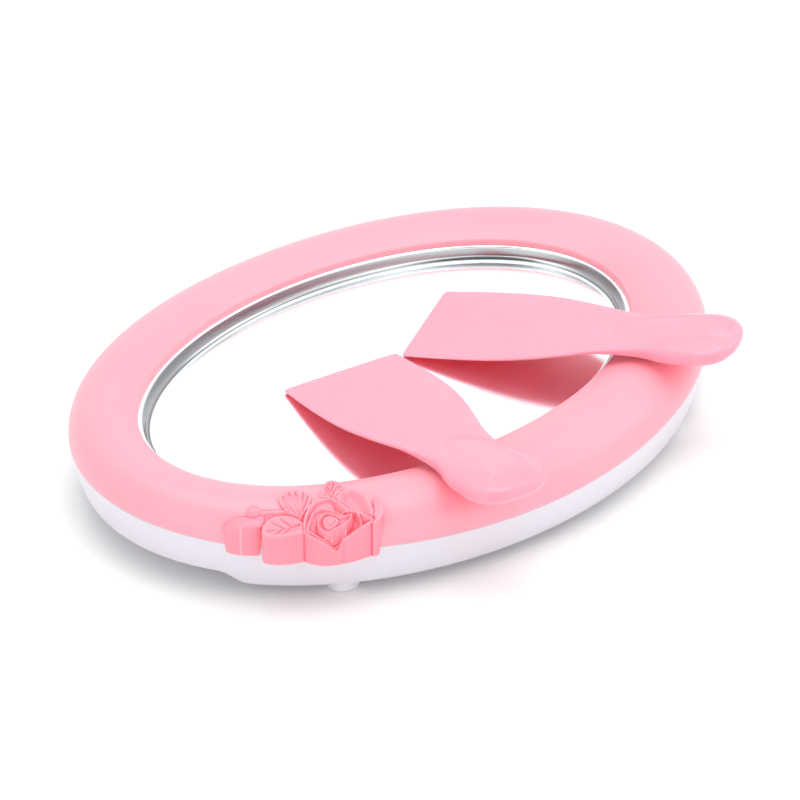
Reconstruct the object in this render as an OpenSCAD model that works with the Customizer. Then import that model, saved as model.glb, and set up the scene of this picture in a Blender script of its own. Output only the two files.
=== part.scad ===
// Ice cream maker: an oval cold tray in a moulded rim over a sealed gel
// reservoir, with a clip-on rose and two scrapers lying on it.
// The ground is z = 0, and X runs along the oval's length.

/* [Body] */
// Length of the body over its seam
body_l = 300; // [270:5:330]
// Width of the body over its seam
body_w = 219; // [200:1:240]
// Height of the shell, from its lower edge to the seam at mid side
shell_h = 17.5; // [16:0.5:22]
// Climb of the seam from mid side to the long ends
seam_lift = 5.8; // [3:0.2:8]
// Distance of the shell's lower edge inside the seam
shell_draft = 4.6; // [3:0.2:7]
// Bulge of the shell's wall at half height
shell_bulge = 0.9; // [0:0.1:2]
// Wall of the shell
shell_wall = 2.4; // [2:0.1:3]
// Height of the finger scoops under the long ends
scoop_h = 4.5; // [2:0.5:5]
// Depth of the finger scoops, inwards from the lower edge
scoop_depth = 22; // [15:1:24]

/* [Rim] */
// Width of the rim at the long ends
rim_w_end = 31; // [29:1:36]
// Width of the rim at mid side
rim_w_side = 34; // [31:1:38]
// Height of the rim's crown above the seam
rim_rise = 16.5; // [15:0.5:20]
// Place of the crown across the rim, from the seam, as a share of the width
crown_at = 0.6; // [0.5:0.05:0.7]
// Fall of the rim from its crown to its inner edge
rim_fall = 3; // [2:0.5:4]
// Wall of the rim
rim_wall = 2; // [1.6:0.1:2.4]
// Rounding of the rim's inner edge
lip_r = 1.2; // [0.6:0.1:1.5]
// Place of the tray's centre along the length
tray_x = -3; // [-4:0.5:4]
// Height of the tongue that centres the rim on the shell
tongue_h = 1.5; // [1:0.1:2]

/* [Tray] */
// Thickness of the pressed sheet
tray_t = 1.2; // [0.8:0.1:1.6]
// Width of the bright ledge inside the rim
tray_ledge = 1; // [0.6:0.1:2]
// Width of the flange under the rim
flange_w = 6; // [5:0.5:8]
// Depth of the floor under the ledge
tray_depth = 6; // [4:0.5:6.5]
// Inward lean of the tray's wall
tray_lean = 1.2; // [0.5:0.1:2]
// Rounding at the foot of the tray's wall
tray_foot_r = 3; // [2:0.5:3.5]

/* [Cold core] */
// Thickness of the gasket under the tray's flange
gasket_t = 1; // [0.8:0.1:1.5]
// Wall of the gel reservoir
reservoir_wall = 1.8; // [1.4:0.1:2]
// Thickness of the insulation pad
pad_t = 5; // [4:0.5:5]
// Radius of the filling hole
port_r = 5; // [4:0.5:6]
// Thickness of the filling plug's seal
seal_t = 1; // [0.8:0.1:1.2]
// Thickness of the filling plug's head
plug_head_t = 2; // [1.5:0.1:2.2]

/* [Feet] */
// Height of the feet under the shell
foot_h = 5; // [4:0.5:7]
// Radius of a foot
foot_r = 7; // [6:0.5:8]
// Angle of the feet round the oval, from the long axis
foot_angle = 50; // [48:1:60]
// Radius of the stem that holds a foot
stem_r = 3; // [2.5:0.1:3.5]
// Length of that stem
stem_l = 5; // [4:0.5:6]

/* [Screws] */
// Radius of a screw's thread
screw_r = 1.5; // [1.25:0.05:1.6]
// Radius of a screw's head
head_r = 2.8; // [2.5:0.1:3]
// Height of a screw's head
head_h = 2; // [1.6:0.1:2.2]
// Length of a screw under its head
screw_l = 14; // [12:1:16]
// Depth of the wells that the heads sit in
well_depth = 6; // [4:0.5:7]

/* [Rose] */
// Place of the bloom round the oval, as an angle on its seam
rose_angle = 227.9; // [222:0.5:232]
// Radius of the bloom
bloom_r = 15; // [13:0.5:16]
// Thickness of a petal's edge
petal_t = 1.6; // [1.2:0.1:2]
// Depth of the ornament under the seam
rose_skirt = 1.5; // [0.5:0.5:3]
// Radius of the two pegs that hold the ornament
peg_r = 1.5; // [1.2:0.1:2]

/* [Scrapers] */
// Length of a scraper
scraper_l = 142; // [130:1:150]
// Width of the blade at its tip
tip_w = 53; // [46:1:56]
// Greatest width of the blade
blade_w = 55; // [50:1:60]
// Width of the neck
neck_w = 29; // [24:1:31]
// Width of the handle's rounded end
bulb_w = 34; // [32:0.5:38]
// Thickness of the blade at its tip
tip_t = 1.2; // [1:0.1:1.6]
// Thickness of the blade before the neck
blade_t = 2.4; // [2:0.1:3]
// Thickness of the handle's rounded end
bulb_t = 14; // [12:0.5:15]
// Rise of the handle's top over the blade
bulb_rise = 2.5; // [1:0.5:4]
// Distance from the tip to where the front scraper rests on the rim
front_rest_at = 98; // [96:1:112]
// Distance from the tip to where the rear scraper rests on the rim
rear_rest_at = 108; // [106:1:112]

/* [Hidden] */

// Half the length and half the width of the seam's oval
a = body_l / 2;
b = body_w / 2;
// Gap between pieces of the body that fit together
fit = 0.2;
// Gap between a scraper and what it lies on
rest_gap = 0.3;
// Gap round a screw's thread
thread_gap = 0.05;
// Gap behind the seam's outer edge, where the rim meets the shell
seam_relief = 0.3;
// Points round each oval, and round each section of a scraper
stations = 96;
core_stations = 64;
section_points = 20;

seam_z = foot_h + shell_h;
seat_z = seam_z + rim_rise - rim_fall - rim_wall;
floor_z = seat_z - tray_depth;
tray_under_z = floor_z - tray_t;

// Height of the seam over its lowest level, at an angle round the oval
function climb(angle) = seam_lift * pow(abs(cos(angle)), 1.8);
// 0 below 0, 1 above 1 and smooth between
function ease(x) = let (c = min(max(x, 0), 1)) c * c * (3 - 2 * c);
function mix(low, high, share) = low + (high - low) * share;
function signed_power(x, e) = sign(x) * pow(abs(x), e);
function oval(half_l, half_w, x = 0, n = stations) =
    [for (i = [0:n - 1]) [x + half_l * cos(i * 360 / n), half_w * sin(i * 360 / n)]];

// Place of the middle of each scraper's tip on the tray, and the way its handle points
front_tip = [-19, 12];
front_heading = -98.5;
rear_tip = [33.5, 19];
rear_heading = -61.5;
// The origin lies under the middle of the whole outline, in front of the oval's own
// middle, because the front scraper reaches past the rim
front_reach = -scraper_l * sin(front_heading) - front_tip[1] - 1.1;
middle_y = (front_reach - b) / 2;
module placed() {
    translate([0, middle_y, 0])
        children();
}

// Joins loops of equal length into one solid. Each loop runs anticlockwise
// seen from the far end. A closed loft joins its last loop to its first.
module loft(loops, closed = false) {
    n = len(loops[0]);
    m = len(loops);
    spans = closed ? m : m - 1;
    sides = [for (j = [0:spans - 1], i = [0:n - 1])
        let (k = (j + 1) % m, l = (i + 1) % n)
        each [[j * n + i, k * n + i, k * n + l], [j * n + i, k * n + l, j * n + l]]];
    caps = closed ? [] : [[for (i = [0:n - 1]) i], [for (i = [n - 1:-1:0]) (m - 1) * n + i]];
    polyhedron(points = [for (loop = loops) each loop], faces = concat(sides, caps), convexity = 6);
}

// Closed oval ring of a flat sheet
module oval_ring(outer_l, outer_w, band, height, z) {
    translate([tray_x, 0, z])
        linear_extrude(height)
            difference() {
                polygon(oval(outer_l, outer_w, 0, core_stations));
                polygon(oval(outer_l - band, outer_w - band, 0, core_stations));
            }
}

// ---- Rim ----

// Point of the rim: angle, share of the width inwards, height over the seam
function rim_point(angle, share, height) = [
    (a - share * rim_w_end) * cos(angle) + share * tray_x,
    (b - share * rim_w_side) * sin(angle),
    seam_z + height + climb(angle) * (1 - share)];
function rim_hoop(share, height) =
    [for (i = [0:stations - 1]) rim_point(i * 360 / stations, share, height)];
// Height of the rim's face over the seam
function rim_face(share) = share < crown_at
    ? rim_rise * sqrt(1 - pow(1 - share / crown_at, 2))
    : rim_rise - rim_fall * pow((share - crown_at) / (1 - crown_at), 2);

wall_share = rim_wall / rim_w_side;
lip_share = lip_r / rim_w_side;
seat_h = seat_z - seam_z;
shoulder_steps = 8;
slope_steps = 4;
lip_steps = 3;

// Height of the groove that takes the shell's tongue
groove_h = tongue_h + fit + seam_lift * wall_share;
// Share and height of each point across the rim's face
rim_outline = concat(
    [for (i = [0:shoulder_steps]) let (turn = 90 * i / shoulder_steps)
        [crown_at * (1 - cos(turn)), rim_rise * sin(turn)]],
    [for (i = [1:slope_steps]) let (share = mix(crown_at, 1 - lip_share, i / slope_steps))
        [share, rim_face(share)]],
    [for (i = [1:lip_steps]) let (turn = 90 * i / lip_steps)
        [1 - lip_share * (1 - sin(turn)), rim_face(1 - lip_share) - lip_r * (1 - cos(turn))]]);
// The same along the inside of the rim, from the tray's seat to the tongue
rim_inside = concat(
    [for (share = [1, (1 + crown_at) / 2]) [share, rim_face(share) - rim_wall]],
    [for (i = [4:-1:1]) let (turn = 22.5 * i)
        [mix(wall_share, crown_at, 1 - cos(turn)), (rim_rise - rim_wall) * sin(turn)]],
    [[wall_share, groove_h], [wall_share / 2, groove_h], [wall_share / 2, seam_relief]]);

screw_angles = [35, 90, 145, 215, 270, 325];
screw_inset = rim_w_side / 2;
boss_r = screw_r + 2;
web_t = 1.6;
boss_low_z = foot_h + well_depth + web_t + fit;
function screw_spot(angle) = [(a - screw_inset) * cos(angle), (b - screw_inset) * sin(angle)];
boss_share = screw_inset / rim_w_side;
function boss_top(angle) = rim_point(angle, boss_share, rim_face(boss_share) - rim_wall * 0.75)[2];

// Pegs of the ornament: place along the seam and inwards from it
peg_spots = [[8, 17], [-11, 15]];
peg_l = 4;
// Height of the rim's face at a peg
function peg_seat(spot) = let (share = spot[1] / rim_w_side)
    rim_point(rose_angle, share, rim_face(share))[2];

module at_rose() {
    translate([a * cos(rose_angle), b * sin(rose_angle), 0])
        rotate([0, 0, atan2(b * cos(rose_angle), -a * sin(rose_angle))])
            children();
}

module rim_cover() {
    color("#fbb9c8") placed()
        difference() {
            union() {
                loft([for (p = concat(rim_outline, rim_inside)) rim_hoop(p[0], p[1])], closed = true);
                for (angle = screw_angles)
                    translate([each screw_spot(angle), boss_low_z])
                        cylinder(h = boss_top(angle) - boss_low_z, r = boss_r, $fn = 32);
            }
            for (angle = screw_angles)
                translate([each screw_spot(angle), boss_low_z - 1])
                    cylinder(h = screw_l, r = screw_r + thread_gap, $fn = 32);
            at_rose()
                for (spot = peg_spots)
                    translate([each spot, seam_z])
                        cylinder(h = rim_rise + seam_lift + 1, r = peg_r + fit, $fn = 32);
        }
}

// ---- Tray ----

seat_l = a - rim_w_end;
seat_w = b - rim_w_side;
// Inset from the rim's inner edge and height of each point of the tray's face
tray_face = concat(
    [[-flange_w, seat_z], [tray_ledge, seat_z]],
    [[tray_ledge + 0.6, seat_z - 0.3], [tray_ledge + 0.9, seat_z - 0.9]],
    [for (i = [0:4]) let (turn = 22.5 * i)
        [tray_ledge + 0.9 + tray_lean + tray_foot_r * (1 - cos(turn)),
         floor_z + tray_foot_r * (1 - sin(turn))]]);
function tray_hoop(inset, z) =
    [for (p = oval(seat_l - inset, seat_w - inset, tray_x)) [each p, z]];

module cold_tray() {
    color("#d9dcdf") placed()
        loft(concat(
            [for (i = [len(tray_face) - 1:-1:2])
                tray_hoop(tray_face[i][0] - tray_t, tray_face[i][1] - tray_t)],
            [tray_hoop(tray_ledge - tray_t, seat_z - tray_t), tray_hoop(-flange_w, seat_z - tray_t)],
            [for (p = tray_face) tray_hoop(p[0], p[1])]));
}

// ---- Cold core ----

gasket_z = seat_z - tray_t - gasket_t;
// Half sizes of the reservoir's cavity, clear of the tray's wall
cavity_l = seat_l + tray_t + fit;
cavity_w = seat_w + tray_t + fit;
reservoir_l = cavity_l + reservoir_wall;
reservoir_w = cavity_w + reservoir_wall;
pad_z = foot_h + shell_wall + fit;
reservoir_z = pad_z + pad_t + fit;
reservoir_floor_z = reservoir_z + reservoir_wall;

module tray_gasket() {
    color("#f4f4f2") placed()
        oval_ring(seat_l + flange_w, seat_w + flange_w, flange_w - tray_t - fit, gasket_t, gasket_z);
}

module reservoir_shell() {
    color("#f2f3f5") placed()
        difference() {
            union() {
                translate([tray_x, 0, reservoir_z])
                    linear_extrude(gasket_z - reservoir_z)
                        polygon(oval(reservoir_l, reservoir_w, 0, core_stations));
                translate([tray_x, 0, gasket_z - reservoir_wall])
                    linear_extrude(reservoir_wall)
                        polygon(oval(seat_l + flange_w, seat_w + flange_w, 0, core_stations));
            }
            translate([tray_x, 0, reservoir_floor_z])
                linear_extrude(gasket_z - reservoir_z)
                    polygon(oval(cavity_l, cavity_w, 0, core_stations));
            translate([tray_x, 0, reservoir_z - 1])
                cylinder(h = reservoir_wall + 2, r = port_r, $fn = 48);
        }
}

module freezing_gel() {
    color("#a9d7ee") placed()
        translate([tray_x, 0, reservoir_floor_z + fit])
            linear_extrude(tray_under_z - reservoir_floor_z - 2 * fit)
                polygon(oval(cavity_l - fit, cavity_w - fit, 0, core_stations));
}

plug_flange_r = port_r + 2.5;

module fill_plug() {
    color("#ffffff") placed()
        translate([tray_x, 0, 0]) {
            translate([0, 0, reservoir_z - seal_t - plug_head_t])
                cylinder(h = plug_head_t, r = plug_flange_r, $fn = 48);
            translate([0, 0, reservoir_z - seal_t - 0.1])
                cylinder(h = reservoir_wall + seal_t + 0.1, r = port_r - fit, $fn = 48);
        }
}

module fill_plug_seal() {
    color("#606468") placed()
        translate([tray_x, 0, reservoir_z - seal_t])
            rotate_extrude($fn = 48)
                translate([port_r, 0])
                    square([plug_flange_r - port_r - fit, seal_t]);
}

module insulation_pad() {
    color("#f7f6f0") placed()
        difference() {
            translate([tray_x, 0, pad_z])
                linear_extrude(pad_t)
                    polygon(oval(seat_l - 4, seat_w - 4, 0, core_stations));
            translate([tray_x, 0, pad_z - 1])
                cylinder(h = pad_t + 2, r = plug_flange_r + 1, $fn = 48);
        }
}

// ---- Shell and feet ----

// Rise of the shell's lower edge over the scoops at the long ends
function scoop(angle) = scoop_h * ease((0.54 - abs(sin(angle))) / 0.09);
// Point of the shell's wall: angle, share of its height, distance inside its face
function shell_point(angle, share, inside) =
    let (inset = shell_draft * (1 - share) - shell_bulge * sin(180 * share) + inside)
    [(a - inset) * cos(angle), (b - inset) * sin(angle),
     mix(foot_h + scoop(angle), seam_z + climb(angle), share)];
function shell_hoop(share, inside, lift = 0) =
    [for (i = [0:stations - 1]) shell_point(i * 360 / stations, share, inside) + [0, 0, lift]];
function bottom_hoop(inset, z) =
    [for (p = oval(a - shell_draft - inset, b - shell_draft - inset)) [each p, z]];

edge_r = 0.8;
tongue_inside = rim_wall / 2 + fit;
foot_inset = shell_draft + edge_r + foot_r + 0.2;
foot_signs = [[-1, -1], [1, -1], [-1, 1], [1, 1]];
function foot_spot(signs) =
    [signs[0] * (a - foot_inset) * cos(foot_angle), signs[1] * (b - foot_inset) * sin(foot_angle)];

module base_shell() {
    color("#eeebf3") placed()
        difference() {
            union() {
                loft([
                    bottom_hoop(scoop_depth, foot_h),
                    shell_hoop(0, edge_r),
                    shell_hoop(0.05, 0),
                    shell_hoop(0.35, 0),
                    shell_hoop(0.7, 0),
                    shell_hoop(1, 0),
                    shell_hoop(1, tongue_inside),
                    shell_hoop(1, tongue_inside, tongue_h),
                    shell_hoop(1, shell_wall, tongue_h),
                    shell_hoop(0.5, shell_wall),
                    shell_hoop(0, shell_wall, shell_wall),
                    bottom_hoop(scoop_depth, foot_h + shell_wall)]);
                for (angle = screw_angles)
                    translate([each screw_spot(angle), foot_h + 0.5])
                        cylinder(h = well_depth + web_t - 0.5, r = head_r + 1.6, $fn = 32);
                for (signs = foot_signs)
                    translate([each foot_spot(signs), foot_h + 0.5])
                        cylinder(h = stem_l + 0.7, r = stem_r + 1.8, $fn = 32);
            }
            for (angle = screw_angles)
                translate([each screw_spot(angle), foot_h - 1]) {
                    cylinder(h = well_depth + 1, r = head_r + fit, $fn = 32);
                    cylinder(h = well_depth + web_t + 2, r = screw_r + fit, $fn = 32);
                }
            for (signs = foot_signs)
                translate([each foot_spot(signs), foot_h - 1])
                    cylinder(h = stem_l + 1, r = stem_r + thread_gap, $fn = 32);
        }
}

// A foot with its stem, on its sole at the origin
module foot() {
    sole_r = 1;
    color("#eceaf0") placed()
        rotate_extrude($fn = 64)
            polygon(concat(
                [[0, 0]],
                [for (turn = [0:30:90])
                    [foot_r - sole_r * (1 - sin(turn)), sole_r * (1 - cos(turn))]],
                [[foot_r, foot_h], [stem_r, foot_h], [stem_r, foot_h + stem_l - 0.3], [0, foot_h + stem_l - 0.3]]));
}
module foot_front_left() translate([each foot_spot(foot_signs[0]), 0]) foot();
module foot_front_right() translate([each foot_spot(foot_signs[1]), 0]) foot();
module foot_rear_left() translate([each foot_spot(foot_signs[2]), 0]) foot();
module foot_rear_right() translate([each foot_spot(foot_signs[3]), 0]) foot();

module case_screws() {
    drive_r = head_r * 0.45;
    color("#b9bcc0") placed()
        for (angle = screw_angles)
            translate([each screw_spot(angle), foot_h + well_depth - head_h])
                difference() {
                    union() {
                        cylinder(h = head_h, r = head_r, $fn = 32);
                        cylinder(h = head_h + screw_l, r = screw_r, $fn = 32);
                    }
                    translate([0, 0, -0.1])
                        cylinder(h = head_h * 0.6, r = drive_r, $fn = 6);
                }
}

// ---- Rose ----

rose_low_z = seam_z - rose_skirt + 0.5;
// Level of the ornament's face over the seam's line, and its fall outwards
rose_face_z = seam_z + rim_rise;
rose_slope = 14;
cut_angles = [for (angle = [rose_angle - 30:3:rose_angle + 30]) angle];

// Section of the body at an angle, grown by a small gap, for cutting the ornament's seat
function body_section(angle) = concat(
    [rim_point(angle, 1, -shell_h), rim_point(angle, 1, rim_face(0.98) + fit / 2)],
    [for (i = [len(rim_outline) - 4:-1:0])
        rim_point(angle, rim_outline[i][0] - fit / rim_w_side / 2, rim_outline[i][1] + fit / 2)],
    [for (share = [0.7, 0.35, 0]) shell_point(angle, share, -fit / 2)]);

// Cuts the tops of upright pieces along a face that falls outwards
module under_face(lift) {
    reach = 60;
    intersection() {
        children();
        translate([0, 0, rose_face_z + lift])
            rotate([rose_slope, 0, 0])
                translate([-reach, -reach, -reach])
                    cube([2 * reach, 2 * reach, reach]);
    }
}
pillar = rim_rise + seam_lift + 20;

module disc(x, y, radius, lift) {
    under_face(lift)
        hull() translate([x, y, rose_low_z])
            cylinder(h = pillar, r = radius, $fn = 48);
}
// Raised edge of a petal, between two angles
module petal(x, y, radius, from, sweep, lift) {
    under_face(lift)
        translate([x, y, rose_low_z])
            rotate([0, 0, from])
                rotate_extrude(angle = sweep, $fn = 48)
                    translate([radius - petal_t, 0])
                        square([petal_t, pillar]);
}
// Upright lobe with soft corners
module lobe(x, y, half_l, half_w, turn, lift) {
    under_face(lift)
        hull() translate([x, y, rose_low_z])
            rotate([0, 0, turn])
                linear_extrude(pillar)
                    polygon([for (t = [0:15:345])
                        [half_l * signed_power(cos(t), 0.7), half_w * signed_power(sin(t), 0.7)]]);
}

module rose_blocks() {
    // bloom, from its outer petals to its heart
    disc(9.5, 11.5, bloom_r * 0.64, 1.2);
    disc(9, 4, bloom_r * 0.7, 1);
    disc(0, 4, bloom_r * 0.76, 1.1);
    petal(0, 4, bloom_r * 0.76, 20, 190, 2.6);
    petal(9.5, 11.5, bloom_r * 0.64, -60, 200, 2.2);
    petal(1, 1.5, bloom_r * 0.56, -20, 260, 3.2);
    petal(0.3, 0.5, bloom_r * 0.36, 120, 280, 3.6);
    disc(0, 0.3, bloom_r * 0.14, 4);
    // leaves, and the bud on its stalk
    lobe(-19, 2.5, 8, 7, 0, 0.8);
    lobe(-10.5, 14, 8.5, 5, 115, 1.2);
    lobe(2.5, 21.5, 5.5, 4, 95, 0.2);
    lobe(-32.5, 6.5, 9, 3.4, 8, -0.4);
    lobe(-22.5, 10.5, 9.5, 3, -12, 1);
}

module rose_ornament() {
    color("#fbb3c4") placed() {
        difference() {
            at_rose() rose_blocks();
            loft([for (angle = cut_angles) body_section(angle)]);
        }
        at_rose()
            for (spot = peg_spots)
                translate([each spot, peg_seat(spot) - peg_l])
                    cylinder(h = peg_l + 1, r = peg_r, $fn = 32);
    }
}

// Push-on clips that hold the pegs from inside the rim
module ornament_clips() {
    clip_t = 0.6;
    color("#b9bcc0") placed()
        at_rose()
            for (spot = peg_spots)
                translate([each spot, peg_seat(spot) - rim_wall - clip_t - 1])
                    difference() {
                        cylinder(h = clip_t, r = peg_r + 2.5, $fn = 32);
                        translate([0, 0, -1])
                            cylinder(h = clip_t + 2, r = peg_r + thread_gap, $fn = 32);
                    }
}

// ---- Scrapers ----

neck_at = scraper_l * 0.72;
bulb_at = scraper_l * 0.89;
handle_from = scraper_l * 0.56;
corner_r = 2;
cap_l = scraper_l - bulb_at;

// Half width, top and thickness along the scraper
function blade_half(s) =
    mix(tip_w, blade_w, ease(s / 20)) / 2 - corner_r * (1 - sqrt(1 - pow(1 - min(s / corner_r, 1), 2)));
function narrowing(s) = pow(min(max((s - 20) / (neck_at - 20), 0), 1), 1.8);
function half_width(s) = s < neck_at
    ? mix(blade_half(s), neck_w / 2, (1 - cos(180 * narrowing(s))) / 2)
    : s < bulb_at ? mix(neck_w, bulb_w, ease((s - neck_at) / cap_l)) / 2
    : bulb_w / 2 * sqrt(1 - pow((s - bulb_at) / cap_l, 2));
function scraper_top(s) = bulb_rise * ease((s - neck_at + 15) / (bulb_at - neck_at + 15));
function body_thickness(s) =
    mix(mix(tip_t, blade_t, s / neck_at), bulb_t, ease((s - handle_from) / (bulb_at - handle_from)));
function thickness(s) = s < bulb_at ? body_thickness(s)
    : bulb_t * sqrt(1 - pow((s - bulb_at) / cap_l, 2));
// Roundness of a section, from a thin sheet to a full oval
function roundness(s) = mix(0.35, 0.85, ease((s - handle_from) / (bulb_at - handle_from)));

function scraper_section(s) =
    let (w = half_width(s), t = thickness(s) / 2, e = roundness(s),
         middle = scraper_top(s) - body_thickness(s) / 2)
    [for (i = [0:section_points - 1]) let (turn = 360 * i / section_points)
        [s, w * signed_power(cos(turn), e), middle + t * signed_power(sin(turn), e)]];

scraper_stops = concat([0, 0.6, 2], [for (i = [1:14]) i * bulb_at / 14],
    [for (turn = [25:13:77]) bulb_at + cap_l * sin(turn)], [scraper_l - 0.15]);

module scraper() {
    loft([for (s = scraper_stops) scraper_section(s)]);
}
// Slope at which a scraper's underside clears the rim's crown at a distance from its tip
function slope(rest_at) =
    let (under = body_thickness(rest_at) - scraper_top(rest_at),
         rise = seam_z + rim_rise + climb(58) * (1 - crown_at) - floor_z - tip_t)
    asin(rise / norm([rest_at, under])) + atan(under / rest_at);
// Lays a scraper with its tip's middle at a place on the floor
module lay(tip, heading, rest_at) {
    color("#fbc3d2") placed()
        translate([each tip, floor_z + rest_gap + tip_t])
            rotate([0, -slope(rest_at), heading])
                scraper();
}
module front_spatula() lay(front_tip, front_heading, front_rest_at);
module rear_spatula() lay(rear_tip, rear_heading, rear_rest_at);

rim_cover();
cold_tray();
tray_gasket();
reservoir_shell();
freezing_gel();
fill_plug();
fill_plug_seal();
insulation_pad();
base_shell();
foot_front_left();
foot_front_right();
foot_rear_left();
foot_rear_right();
case_screws();
rose_ornament();
ornament_clips();
front_spatula();
rear_spatula();
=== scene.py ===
"""Ice cream maker: an oval cold tray in a pink rim, a clip-on rose and two scrapers.

Shapes are worked out in millimetres on the body's own axes and scaled to metres
at the end. The body's middle lies MIDDLE_Y behind the frame's origin.
"""
import bpy
import math
import numpy as np
from mathutils import Matrix, Vector


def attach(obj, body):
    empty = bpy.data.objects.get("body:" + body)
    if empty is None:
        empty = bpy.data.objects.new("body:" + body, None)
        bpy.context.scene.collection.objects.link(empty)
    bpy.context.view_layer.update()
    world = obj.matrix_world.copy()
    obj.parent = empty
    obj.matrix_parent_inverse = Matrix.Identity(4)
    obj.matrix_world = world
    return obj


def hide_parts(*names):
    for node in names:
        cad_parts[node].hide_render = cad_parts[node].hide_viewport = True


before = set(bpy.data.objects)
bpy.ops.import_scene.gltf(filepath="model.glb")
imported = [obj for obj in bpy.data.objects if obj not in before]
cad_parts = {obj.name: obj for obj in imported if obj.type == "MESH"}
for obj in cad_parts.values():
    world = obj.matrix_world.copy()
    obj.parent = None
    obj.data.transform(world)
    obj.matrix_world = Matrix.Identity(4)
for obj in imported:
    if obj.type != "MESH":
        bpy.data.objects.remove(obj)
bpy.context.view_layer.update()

MM = 0.001

# ---- Sizes in millimetres and degrees, as in the solids ----------------------

HALF_L, HALF_W = 150.0, 109.5
FOOT_H, SHELL_H, SEAM_LIFT, LIFT_POWER = 5.0, 17.5, 5.8, 1.8
SHELL_DRAFT, SHELL_BULGE, SHELL_WALL = 4.6, 0.9, 2.4
SCOOP_H, SCOOP_DEPTH, SCOOP_REACH, SCOOP_SLOPE = 4.5, 22.0, 0.54, 0.09
RIM_W_END, RIM_W_SIDE, RIM_RISE = 31.0, 34.0, 16.5
CROWN_AT, RIM_FALL, RIM_WALL, LIP_R = 0.6, 3.0, 2.0, 1.2
TRAY_X, TONGUE_H, FIT = -3.0, 1.5, 0.2
TRAY_T, TRAY_LEDGE, FLANGE_W, TRAY_DEPTH = 1.2, 1.0, 6.0, 6.0
TRAY_BEND_R, TRAY_LEAN, TRAY_FOOT_R = 0.9, 1.2, 3.0
FOOT_R, STEM_R, STEM_L, STEM_FIT = 7.0, 3.0, 5.0, 0.05
SCREW_R, HEAD_R, WELL_DEPTH, WEB_T = 1.5, 2.8, 6.0, 1.6
SCREW_BOSS_T, FOOT_BOSS_T, SOCKET_TOP_T = 1.6, 1.8, 0.7
SHELL_EDGE_R, SEAM_EDGE, SEAM_RELIEF = 0.8, 0.35, 0.3
SCREW_ANGLES = [35, 90, 145, 215, 270, 325]
FOOT_ANGLES = [50, 130, 230, 310]
ROSE_ANGLE = 227.9
MIDDLE_Y = 8.92

SEAM_Z = FOOT_H + SHELL_H
SEAT_Z = SEAM_Z + RIM_RISE - RIM_FALL - RIM_WALL
FLOOR_Z = SEAT_Z - TRAY_DEPTH

STATIONS = 288
ROUND = np.arange(STATIONS) * 2 * math.pi / STATIONS


def ease(x):
    """A smooth step from 0 at 0 to 1 at 1."""
    c = np.clip(x, 0.0, 1.0)
    return c * c * (3 - 2 * c)


def mix(low, high, share):
    """The value at a share of the way from low to high."""
    return low + (high - low) * share


def signed_power(x, e):
    """A power of the size of x that keeps the sign of x."""
    return np.sign(x) * np.abs(x) ** e


def climb(angle):
    """Height of the seam over its lowest level, at an angle round the oval."""
    return SEAM_LIFT * np.abs(np.cos(angle)) ** LIFT_POWER


def hoop(half_l, half_w, z, x=0.0):
    """Points of a level ellipse round the body."""
    return np.stack([x + half_l * np.cos(ROUND), half_w * np.sin(ROUND), z + 0 * ROUND], -1)


# ---- Meshes ------------------------------------------------------------------

SHARP_ANGLE = 35.0


def piece(name, points, faces, material, body="body", sharp=SHARP_ANGLE):
    """A smooth-shaded mesh from points in millimetres on the body's axes."""
    mesh = bpy.data.meshes.new(name)
    moved = (np.asarray(points) + [0, MIDDLE_Y, 0]) * MM
    mesh.from_pydata(moved.tolist(), [], faces)
    mesh.validate()
    mesh.shade_smooth()
    mesh.set_sharp_from_angle(angle=math.radians(sharp))
    mesh.materials.append(material)
    obj = bpy.data.objects.new(name, mesh)
    bpy.context.scene.collection.objects.link(obj)
    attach(obj, body)
    return obj


def loft(loops, closed=False):
    """Points and faces of a solid through loops of equal length."""
    loops = [np.asarray(loop) for loop in loops]
    m, n = len(loops), len(loops[0])
    points = np.concatenate(loops)
    faces = []
    for j in range(m if closed else m - 1):
        k = (j + 1) % m
        faces += [(j * n + i, j * n + (i + 1) % n, k * n + (i + 1) % n, k * n + i) for i in range(n)]
    if not closed:
        faces.append(tuple(range(n - 1, -1, -1)))
        faces.append(tuple((m - 1) * n + i for i in range(n)))
    return points, faces


def together(solids):
    """Points and faces of several solids as one mesh."""
    points, faces, start = [], [], 0
    for solid_points, solid_faces in solids:
        points.append(solid_points)
        faces += [tuple(start + i for i in face) for face in solid_faces]
        start += len(solid_points)
    return np.concatenate(points), faces


def turned(profile, spots, steps=48):
    """One solid of revolution at each spot, through (radius, z) points from the bottom up."""
    turn = np.arange(steps) * 2 * math.pi / steps
    return [loft([np.stack([x + r * np.cos(turn), y + r * np.sin(turn), z + 0 * turn], -1)
                  for r, z in profile]) for x, y in spots]


def settled(rough, name):
    """A new object with a rough one's modifiers worked in, in the place of the rough one."""
    bpy.context.view_layer.update()
    worked = rough.evaluated_get(bpy.context.evaluated_depsgraph_get())
    mesh = bpy.data.meshes.new_from_object(worked)
    bpy.data.objects.remove(rough)
    obj = bpy.data.objects.new(name, mesh)
    bpy.context.scene.collection.objects.link(obj)
    return obj


# ---- Materials ---------------------------------------------------------------

NOISE_SPAN = (0.3, 0.7)
COLOUR_DRIFT, GLOSS_DRIFT = 14, 60
PLASTIC_IOR = 1.5


def material(name):
    """A new material with its node tree and its shader."""
    mat = bpy.data.materials.new(name)
    mat.use_nodes = True
    tree = mat.node_tree
    return mat, tree, tree.nodes["Principled BSDF"]


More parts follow.
